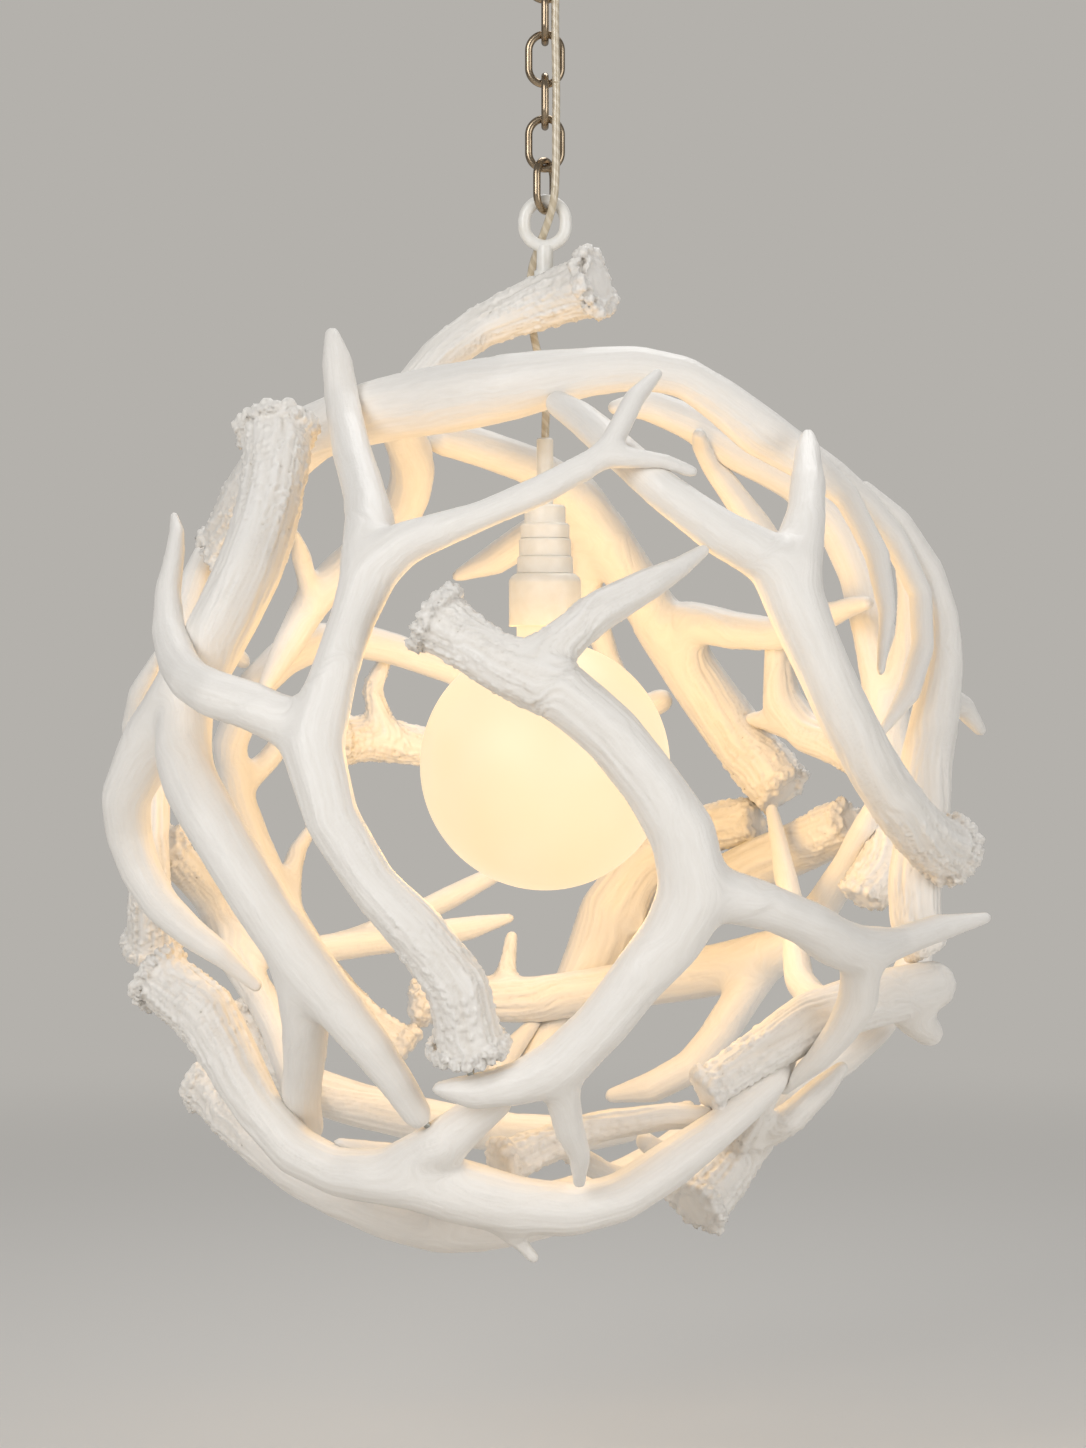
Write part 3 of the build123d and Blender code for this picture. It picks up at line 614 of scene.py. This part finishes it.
# %% How far each point is lifted
def carved(place, normals, fields, burr, slide):
    """How far each point is lifted, the grain's coordinates, and the shade painted into grooves and pits.
    """
    first = fields[:, 3:6] / np.maximum(np.linalg.norm(fields[:, 3:6], axis=1), 1e-3)[:, None]
    second = np.cross(fields[:, 0:3], first)
    radius, along = fields[:, 6], fields[:, 7]
    around = np.column_stack([(normals * first).sum(1), (normals * second).sum(1)])
    around /= np.maximum(np.linalg.norm(around, axis=1), 0.25)[:, None]
    near_burr = np.exp(-(along / grooved_length) ** 2)
    off_face = np.clip(along / (collar_share * burr), 0.25, 1.0) if burr > 0 else 1.0
    thick = np.clip(radius / full_groove_radius, 0.2, 1.0)
    strength = (least_grooved + burr_grooved * near_burr) * thick * off_face
    flutes = value_noise(np.column_stack([around * flute_turns + 9, along / flute_length + slide])) - 0.5
    thin = value_noise(np.column_stack([around * crease_turns + 30, along / crease_length + slide])) - 0.5
    creases = -np.exp(-(thin / crease_width) ** 2)
    swell = value_noise(place / swell_size + slide) - 0.5
    lift = strength * (flute_depth * flutes + crease_depth * creases) + swell_height * swell
    pits = np.zeros(len(place))
    if burr > 0:
        beam = burr * beam_share
        cells = np.column_stack([around * (beam / pearl_spacing) + 20, along / pearl_length + slide])
        gap, size = beads(cells)
        dome = np.sqrt(np.clip(1 - (gap / 0.5) ** 2, 0, 1)) * (size > 0.3) * off_face
        fade = np.clip(1.3 - along / (burr * pearled_share), 0, 1)
        lift += pearl_height * dome * (0.4 + 0.8 * size) * np.minimum(fade * 1.6, 1) * (fade > size * 0.9)
        cells = np.column_stack([around * (beam / pit_spacing) + 40, along / pit_length + slide])
        gap, size = beads(cells)
        pitted = (size > 0.55) * (along > burr * collar_share) * (along < burr * pitted_share)
        pits = np.exp(-(gap / pit_width) ** 2) * pitted
        crumble = value_noise(place / crumble_size) - 0.4
        lift += crumble_height * crumble * (along < burr * face_share) - pit_depth * pits
    grain_at = np.column_stack([around, along / grain_length + slide])
    # The deeper a groove or pit, the more shade is painted on it.
    groove_shade = np.clip(0.2 - 0.7 * flutes - 0.5 * creases, 0, 1) * np.minimum(strength, 1)
    return lift, grain_at, groove_shade_share * groove_shade + pit_shade_share * pits


# %% [markdown]
# ## All the antlers
# Each antler goes through the same steps: clay, knobs, one new fine skin, and the
# carving. The clay knows where its points lie along the beam, so each point of the
# skin asks the nearest one. The piece then replaces its CAD node and rides on the
# cage, which is one body.

# %% Sculpt the antlers
skin_rounds = 3
slide_step = 7.3


def sculpt(name, seed):
    """One antler, rounded, grooved and pearled, as an object that replaces its CAD node."""
    burr = burrs[name][3]
    clay, points, fields, along = rounded_clay(name, burr)
    parts = [clay]
    if burr > 0:
        parts += burr_knobs(points, along, burr, seed)
    skin = remeshed(joined(parts), skin_mm)
    seek = kdtree.KDTree(len(points))
    for i, point in enumerate(points):
        seek.insert(point, i)
    seek.balance()
    place, edges, _ = read(skin)
    fields = fields[np.array([seek.find(p)[1] for p in place])]
    degree = degrees(edges, len(place))
    fields = evened(fields, edges, degree, skin_rounds)
    write(skin, 0.5 * place + 0.5 * spread(place, edges, degree))
    place, edges, normals = read(skin)
    lift, grain_at, tone = carved(place, normals, fields, burr, seed * slide_step)
    write(skin, place + normals * lift[:, None])

    layer = skin.attributes.new("grain", "FLOAT_VECTOR", "POINT")
    layer.data.foreach_set("vector", grain_at.astype(np.float32).ravel())
    # The second attribute carries the painted shade of grooves and pits.
    layer = skin.attributes.new("painted_shade", "FLOAT", "POINT")
    layer.data.foreach_set("value", tone.astype(np.float32))
    skin.shade_smooth()
    skin.materials.clear()
    skin.materials.append(resin)
    piece = bpy.data.objects.new("horn_" + name, skin)
    scene.collection.objects.link(piece)
    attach(piece, "cage")
    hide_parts("antler_" + name)
    return len(skin.polygons)


total = 0
for seed, name in enumerate(sorted(burrs)):
    total += sculpt(name, seed + 1)
print("antlers sculpted:", len(burrs), "faces:", total)

# %% [markdown]
# ## Metals
# The chain, canopy and collar are steel, plated and darkened to an aged bronze: a
# light brown metal in soft patches, a little duller in some places than in others.
# A picture of metal wrapped round each link would show its seam. Noise in real
# millimetres runs through all of them and has none. A metal keeps the default IOR.

# %% Aged bronze
bronze, tree, shader = finish_named("aged_bronze_plate", Metallic=1.0, Roughness=0.36)
place = add(tree, "ShaderNodeTexCoord")
colour, _ = mottled(tree, place.outputs["Object"], 6.0, "#94836D", "#AF9D85")
tree.links.new(colour, shader.inputs["Base Color"])
wear = add(tree, "ShaderNodeTexNoise", {
    "Vector": place.outputs["Object"], "Scale": 1 / (1.1 * mm), "Detail": 3.0})
dull = add(tree, "ShaderNodeMapRange", {"Value": wear.outputs["Fac"], "To Min": 0.2, "To Max": 0.32})
tree.links.new(dull.outputs[0], shader.inputs["Roughness"])
bump = add(tree, "ShaderNodeBump", {"Height": wear.outputs["Fac"], "Distance": 0.03 * mm, "Strength": 0.15})
tree.links.new(bump.outputs[0], shader.inputs["Normal"])
print("chain finish:", bronze.name, "with", len(tree.nodes), "nodes")

# %% [markdown]
# ## Small parts
# Zinc plate is cool and slightly blotched. Drawn brass is warm and bright. The
# porcelain and glass insulators are glazed. The lampholder is moulded plastic with a
# fine spark-eroded grain, and the ring is sprayed with white enamel. All of them need
# the same nodes: two close tones in soft patches, and a slight unevenness in the
# surface. One function makes them, with each patch's width in millimetres.


# %% Patched finishes
def patched(name, width_mm, low, high, uneven_mm=0.0, grain_mm=None, **sockets):
    """A finish of two tones in soft patches, its surface uneven by the given height."""
    material, tree, shader = finish_named(name, **sockets)
    place = add(tree, "ShaderNodeTexCoord")
    colour, patch = mottled(tree, place.outputs["Object"], width_mm, low, high)
    tree.links.new(colour, shader.inputs["Base Color"])
    if grain_mm:
        spark = add(tree, "ShaderNodeTexNoise", {
            "Vector": place.outputs["Object"], "Scale": 1 / (grain_mm * mm), "Detail": 2.0})
        patch = spark.outputs["Fac"]
    if uneven_mm:
        bump = add(tree, "ShaderNodeBump", {"Height": patch, "Distance": uneven_mm * mm, "Strength": 0.5})
        tree.links.new(bump.outputs[0], shader.inputs["Normal"])
    return material


zinc = patched("zinc_plated_steel", 4.0, "#9C9E9C", "#C6C6BE", 0.04, Metallic=1.0, Roughness=0.38)
brass = patched("drawn_brass", 5.0, "#B08A45", "#D9B870", 0.03, Metallic=1.0, Roughness=0.28)
ceramic = patched("glazed_porcelain", 7.0, "#E7E3D8", "#F1EEE6", Roughness=0.18, IOR=1.5, Coat_Weight=0.4)
plastic = patched("moulded_white_plastic", 9.0, "#EFEADF", "#F6F3EB", 0.03, 0.7, Roughness=0.34, IOR=1.46)
enamel = patched("sprayed_white_enamel", 8.0, "#EDE9E0", "#F5F3EE", 0.12, Roughness=0.3, IOR=1.5)
black = patched("black_glass_insulator", 2.0, "#141416", "#26262A", Roughness=0.2, IOR=1.52)
print("small finishes:", *(finish.name for finish in (zinc, brass, ceramic, plastic, enamel, black)))

# %% [markdown]
# ## The lit globe
# Opal glass spreads its lamp's light so evenly that it looks like a flat warm disc,
# a little deeper in some places. A lamp behind real glass walls would be true to
# life, but it needs very many samples before it is smooth. So the glass has a weak
# emission of its own, below white, and a pale base that it keeps when another light
# falls on it. Its satin surface is rough enough to mirror no lamp.

# %% Lit opal glass
opal, tree, shader = finish_named("lit_opal_glass", Roughness=0.45, IOR=1.5, Emission_Strength=0.7)
place = add(tree, "ShaderNodeTexCoord")
colour, _ = mottled(tree, place.outputs["Object"], 60.0, "#FFE9BE", "#FFEFCC", detail=1.0)
tree.links.new(colour, shader.inputs["Emission Color"])
shader.inputs["Base Color"].default_value = linear("#B0A082")
print("globe finish:", opal.name, "with", len(tree.nodes), "nodes")

# %% [markdown]
# ## Turned, bent and moulded parts
# Links, nuts, the canopy and the lampholder are exact in the CAD already, so making
# them again in Blender would add nothing. They keep their own mesh, and only get
# their finish.

# %% Finishes on the CAD nodes
for node, material in {
    "canopy": bronze, "collar_ring_nut": bronze, "collar_loop": bronze, "crossbar": zinc,
    "threaded_nipple": zinc, "locknut": zinc, "joint_pins": zinc, "hanging_eye": enamel,
    "cord_grip": plastic, "lampholder_cap": plastic, "lampholder_skirt": plastic,
    "lampholder_insulator": ceramic, "screw_shell": brass, "centre_contact": brass,
    "globe_glass": opal, "lamp_base": brass, "lamp_contact": black,
    **{"chain_link_%d" % k: bronze for k in range(1, 7)},
}.items():
    nodes[node].data.materials.clear()
    nodes[node].data.materials.append(material)
print("last CAD node finished:", node)

# %% [markdown]
# ## The lamp cord
# A clear cord with two gold conductors twisted inside runs from the canopy down
# beside the chain, through the ring and behind the crown antler to the lampholder.
# Clear plastic round real wires would be slow to render and hardly seen at this
# size. So the gold is painted on as two soft stripes that wind round the cord, one
# turn in 14 mm, under a clear coat. The stripes follow the cord's own UV map.

# %% Cord finish
cord_finish, tree, shader = finish_named("clear_gold_cord", Roughness=0.16, IOR=1.5, Coat_Weight=0.6)
round_cord = add(tree, "ShaderNodeUVMap", uv_map="cord")
split = add(tree, "ShaderNodeSeparateXYZ", {"Vector": round_cord.outputs[0]})
twist_pitch = 14 * mm
turning = add(tree, "ShaderNodeMath", {
    0: split.outputs["Y"], 1: 2 * math.pi / twist_pitch}, operation="MULTIPLY")
angle = add(tree, "ShaderNodeMath", {0: split.outputs["X"], 1: 2 * math.pi, 2: turning.outputs[0]},
            operation="MULTIPLY_ADD")
double = add(tree, "ShaderNodeMath", {0: angle.outputs[0], 1: 2.0}, operation="MULTIPLY")
strand = add(tree, "ShaderNodeMath", {0: double.outputs[0]}, operation="SINE")
gold = add(tree, "ShaderNodeValToRGB", {"Fac": strand.outputs[0]})
gold.color_ramp.elements[0].position = 0.0
gold.color_ramp.elements[0].color = linear("#CBBDA3")
gold.color_ramp.elements[1].position = 0.7
gold.color_ramp.elements[1].color = linear("#DCD0BA")
tree.links.new(gold.outputs["Color"], shader.inputs["Base Color"])
print("cord finish:", cord_finish.name, "with", len(tree.nodes), "nodes")

# %% [markdown]
# ## The cord's line
# A hanging cord has no corners. Straight runs between the route's points would show
# them, and so would a curve forced through each point. A NURBS curve is only drawn
# towards its points, so it stays soft, as a real cord does. Its points follow the
# CAD's route and keep the cord clear of the links at every pose.

# %% Cord route
cord_radius = 2.4
cord_sides = 16
route = [
    (0, 0, -6), (0, 0, -41), (7.2, -7.1, -59.4), (5.8, -6.6, -97), (6.8, -6, -134), (6.6, -7.0, -165),
    (6.6, -7.5, -187), (5.5, -9.5, -210), (-3.5, 8.5, -232), (-9, 22, -246), (-9, 24.5, -268),
    (-6, 14, -292), (2.2, 4.6, -316), (0, 0, -338), (0, 0, -358),
]
curve = bpy.data.curves.new("route", "CURVE")
curve.dimensions = "3D"
spline = curve.splines.new("NURBS")
spline.points.add(len(route) - 1)
for point, place in zip(spline.points, route):
    point.co = (*(Vector(place) * mm), 1)
spline.order_u = 3
spline.use_endpoint_u = True
spline.resolution_u = 24
holder = bpy.data.objects.new("route", curve)
scene.collection.objects.link(holder)
seen = holder.evaluated_get(bpy.context.evaluated_depsgraph_get())
line = bpy.data.meshes.new_from_object(seen)
path = [v.co.copy() / mm for v in line.vertices]
bpy.data.objects.remove(holder)
print("cord line:", len(path), "points,", round(sum((b - a).length for a, b in zip(path, path[1:]))), "mm")


# %% [markdown]
# ## The cord's stretches
# The cord is one piece, but it passes five joints, and each mesh can bend at one
# joint only. So its line is cut halfway between the pivots of the chain, into one
# stretch for each joint. The tube is built ring by ring, because a bevelled curve has
# no UV map in metres.

# %% A tube along a line
def tube_along(spots):
    """A closed round tube through the given points, with its own UV map in metres."""
    verts, faces, uvs = [], [], []
    lengths = [0.0]
    for a, b in zip(spots, spots[1:]):
        lengths.append(lengths[-1] + (b - a).length)
    last = len(spots) - 1
    across = Vector((1, 0, 0))
    for i, spot in enumerate(spots):
        ahead = (spots[min(i + 1, last)] - spots[max(i - 1, 0)]).normalized()
        across = (across - ahead * across.dot(ahead)).normalized()
        other = ahead.cross(across)
        for side in range(cord_sides):
            turn = 2 * math.pi * side / cord_sides
            verts.append((spot + (across * math.cos(turn) + other * math.sin(turn)) * cord_radius) * mm)
    for i in range(last):
        for side in range(cord_sides):
            after = (side + 1) % cord_sides
            faces.append((i * cord_sides + side, i * cord_sides + after,
                          (i + 1) * cord_sides + after, (i + 1) * cord_sides + side))
            left, right = side / cord_sides, (side + 1) / cord_sides
            here, next_row = lengths[i] * mm, lengths[i + 1] * mm
            uvs.append([(left, here), (right, here), (right, next_row), (left, next_row)])
    faces.append(tuple(reversed(range(cord_sides))))
    faces.append(tuple(last * cord_sides + side for side in range(cord_sides)))
    uvs.append([(0, 0)] * cord_sides)
    uvs.append([(0, lengths[-1] * mm)] * cord_sides)
    mesh = bpy.data.meshes.new("cord")
    mesh.from_pydata(verts, [], faces)
    layer = mesh.uv_layers.new(name="cord")
    layer.data.foreach_set("uv", [c for face in uvs for corner in face for c in corner])
    mesh.shade_smooth()
    return mesh


# %% Cord stretches
bends = [("ceiling", "link_1", ["cord_ceiling"]), ("link_1", "link_2", ["cord_link_1"]),
         ("link_2", "link_6", ["cord_chain"]), ("link_6", "cage", ["cord_link_6", "cord_cage"]),
         ("cage", "lamp", ["cord_lamp"])]
pivots = {joint["child"]: joint["pos_m"][2] / mm for joint in frame["joints"] if joint["type"] == "hinge"}
levels = [pivots[child] for _, child, _ in bends]
under_all = -400.0
cuts = [0.0] + [(a + b) / 2 for a, b in zip(levels, levels[1:])] + [under_all]
for k, (above, below, cord_nodes) in enumerate(bends):
    top, bottom = cuts[k], cuts[k + 1]
    spots = [spot for spot in path if bottom < spot.z < top]
    for a, b in zip(path, path[1:]):
        for level in (top, bottom):
            if b.z < level < a.z:
                spots.append(a.lerp(b, (a.z - level) / (a.z - b.z)))
    spots.sort(key=lambda spot: -spot.z)
    piece = bpy.data.objects.new("lamp_cord_%d" % (k + 1), tube_along(spots))
    piece.data.materials.append(cord_finish)
    scene.collection.objects.link(piece)
    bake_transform(piece)
    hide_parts(*cord_nodes)

# %% [markdown]
# ## Floor
# The lamp hangs over a plain pale floor. A curved studio backdrop would need a
# place in every view, and an end. So the floor is flat: it shows the lamp's shadow
# near by and turns into the colour of the world further off, so that no horizon
# shows. Its underside is clear, so that the lamp can be seen from below.

# %% Floor
floor_z = -1.0
floor_reach = 14.0
fade_from, fade_to = 1.1, 3.2
backdrop_grey = "#B4B1AC"
floor_material, tree, shader = finish_named("pale_floor", Roughness=0.9)
shader.inputs["Base Color"].default_value = linear("#D6D3CE")
far_off = add(tree, "ShaderNodeEmission", {"Color": linear(backdrop_grey), "Strength": 1.0})
place = add(tree, "ShaderNodeTexCoord")
away = add(tree, "ShaderNodeVectorMath", {0: place.outputs["Object"]}, operation="LENGTH")
fade = add(tree, "ShaderNodeMapRange", {
    "Value": away.outputs["Value"], "From Min": fade_from, "From Max": fade_to,
}, interpolation_type="SMOOTHSTEP")
ray = add(tree, "ShaderNodeLightPath")
seen = add(tree, "ShaderNodeMath", {
    0: fade.outputs[0], 1: ray.outputs["Is Camera Ray"]}, operation="MULTIPLY")
melt = add(tree, "ShaderNodeMixShader", {0: seen.outputs[0], 1: shader.outputs[0], 2: far_off.outputs[0]})
under = add(tree, "ShaderNodeNewGeometry")
clear = add(tree, "ShaderNodeBsdfTransparent")
one_way = add(tree, "ShaderNodeMixShader", {
    0: under.outputs["Backfacing"], 1: melt.outputs[0], 2: clear.outputs[0]})
tree.links.new(one_way.outputs[0], tree.nodes["out"].inputs["Surface"])
floor_mesh = bpy.data.meshes.new("floor")
corners = [(x * floor_reach, y * floor_reach, floor_z) for x, y in ((-1, -1), (1, -1), (1, 1), (-1, 1))]
floor_mesh.from_pydata(corners, [], [(0, 1, 2, 3)])
floor_mesh.materials.append(floor_material)
floor = bpy.data.objects.new("floor", floor_mesh)
scene.collection.objects.link(floor)
print("floor:", floor_z, "m high, faded out at", fade_to, "m")

# %% [markdown]
# ## World
# White light from all sides fills the shadows. It is weak, so that the round beams
# keep their shade, and the camera sees the plain backdrop colour in its place.

# %% World
world = bpy.data.worlds.new("studio")
scene.world = world
world.use_nodes = True
tree = world.node_tree
tree.nodes.clear()
ray = add(tree, "ShaderNodeLightPath")
ambient = add(tree, "ShaderNodeBackground", {"Color": linear("#FFFFFF"), "Strength": 0.27})
shown = add(tree, "ShaderNodeBackground", {"Color": linear(backdrop_grey), "Strength": 1.0})
mix = add(tree, "ShaderNodeMixShader", {
    0: ray.outputs["Is Camera Ray"], 1: ambient.outputs[0], 2: shown.outputs[0]})
add(tree, "ShaderNodeOutputWorld", {"Surface": mix.outputs[0]})
print("world:", world.name, "with the backdrop", backdrop_grey)

# %% [markdown]
# ## Lamps
# Two large soft lamps light the antlers from the front and one from above, so that
# no shadow has a hard edge and no white is lost. Their powers are in watts.


# %% Studio lamps
def soft_lamp(name, place, size, watts):
    """A square white lamp that looks at the ball's centre."""
    data = bpy.data.lights.new(name, "AREA")
    data.size = size
    data.energy = watts
    lamp = bpy.data.objects.new(name, data)
    lamp.location = place
    aim = Vector(ball_centre) * mm - Vector(place)
    lamp.rotation_euler = aim.to_track_quat("-Z", "Y").to_euler()
    scene.collection.objects.link(lamp)
    print(name, watts, "W")


soft_lamp("key", (-1.6, -2.6, 0.6), 1.6, 46)
soft_lamp("fill", (2.2, -2.0, -0.2), 1.8, 27)
soft_lamp("top", (0.3, 0.9, 1.4), 1.4, 23)

# %% [markdown]
# ## The globe's own light
# The glow on the inner sides of the antlers is what makes the lamp look lit. The
# glass's emission could give it, but that would be noisy and too weak. A point lamp
# with the globe's size, just outside its glass, is smooth. The light linking leaves
# the glass itself out, or it would turn plain white. The lamp rides on the globe,
# so that the light goes where the globe goes.

# %% Globe lamp
globe_centre = (0, 0, -544.55)
glow_radius = 76.5
glow_data = bpy.data.lights.new("globe_glow", "POINT")
glow_data.energy = 0.95
glow_data.color = linear("#FFC666")[:3]
glow_data.shadow_soft_size = glow_radius * mm
glow_data.use_soft_falloff = False
glow = bpy.data.objects.new("globe_glow", glow_data)
glow.location = Vector(globe_centre) * mm
glow.visible_camera = False
scene.collection.objects.link(glow)
unlit = bpy.data.collections.new("left_out_of_the_glow")
unlit.objects.link(nodes["globe_glass"])
glow.light_linking.receiver_collection = unlit
unlit.collection_objects[0].light_linking.link_state = "EXCLUDE"
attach(glow, "globe")
print(glow.name, round(glow_data.energy, 2), "W")

# %% [markdown]
# ## Colour view and end
# The Standard view shows each colour as it was written.

# %% Colour view and end
scene.view_settings.view_transform = "Standard"
